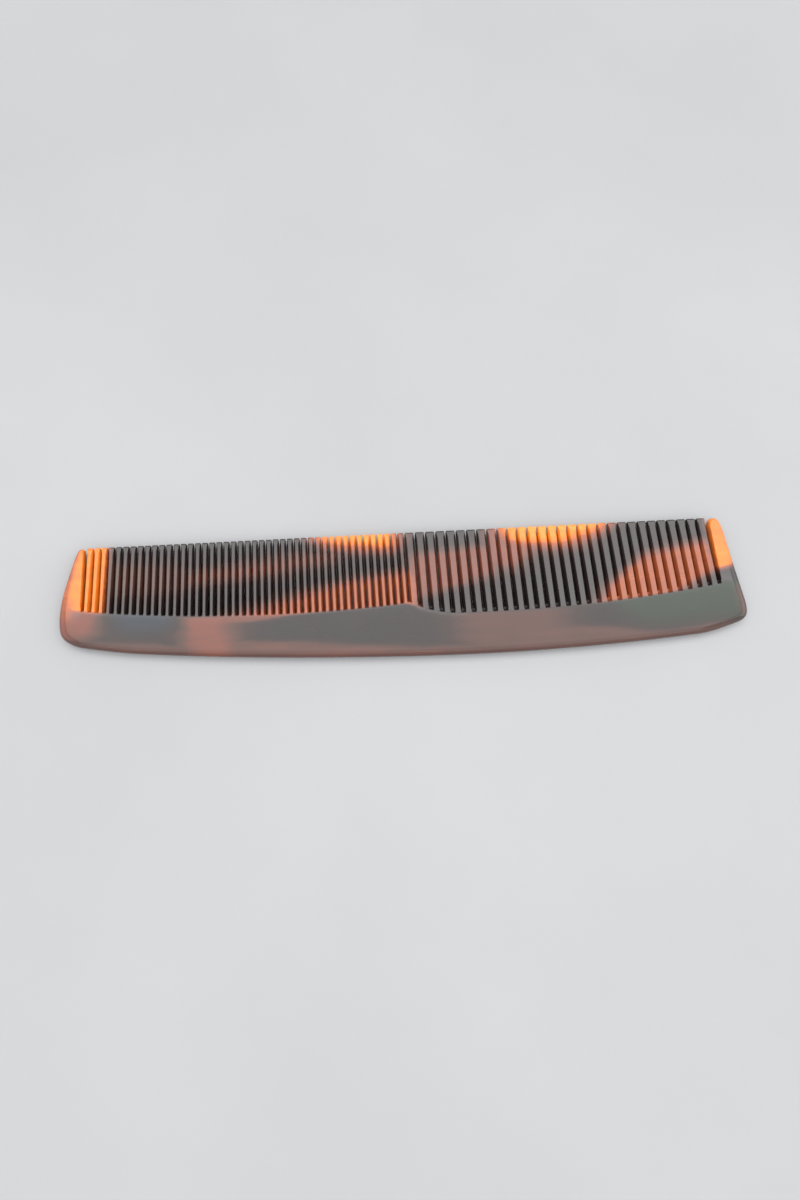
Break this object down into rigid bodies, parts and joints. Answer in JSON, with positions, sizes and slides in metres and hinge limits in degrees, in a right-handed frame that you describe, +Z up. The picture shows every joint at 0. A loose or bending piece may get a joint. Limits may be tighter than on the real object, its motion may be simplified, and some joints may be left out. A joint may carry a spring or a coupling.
{
  "type": "hair comb",
  "caption": "Flat dressing comb with a bowed back, a solid guard at each end, and a row of fine teeth beside a row of coarse teeth, in mottled tortoiseshell plastic.",
  "frame": {"origin": "centre of the comb's bounding box in length and width, on its underside", "axes": "+X along the comb from the fine teeth to the coarse teeth, +Y from the bowed back towards the tooth tips, +Z up through the thickness"},
  "size_m": [0.19, 0.036, 0.0042],
  "materials": {
    "tortoiseshell": "polished mottled tortoiseshell acetate: near-black and red-brown streaks along the comb over translucent amber"
  },
  "bodies": {
    "root": {"spine": "tortoiseshell", "left_end_guard": "tortoiseshell", "right_end_guard": "tortoiseshell", "fine_teeth": "tortoiseshell", "coarse_teeth": "tortoiseshell"}
  },
  "joints": []
}
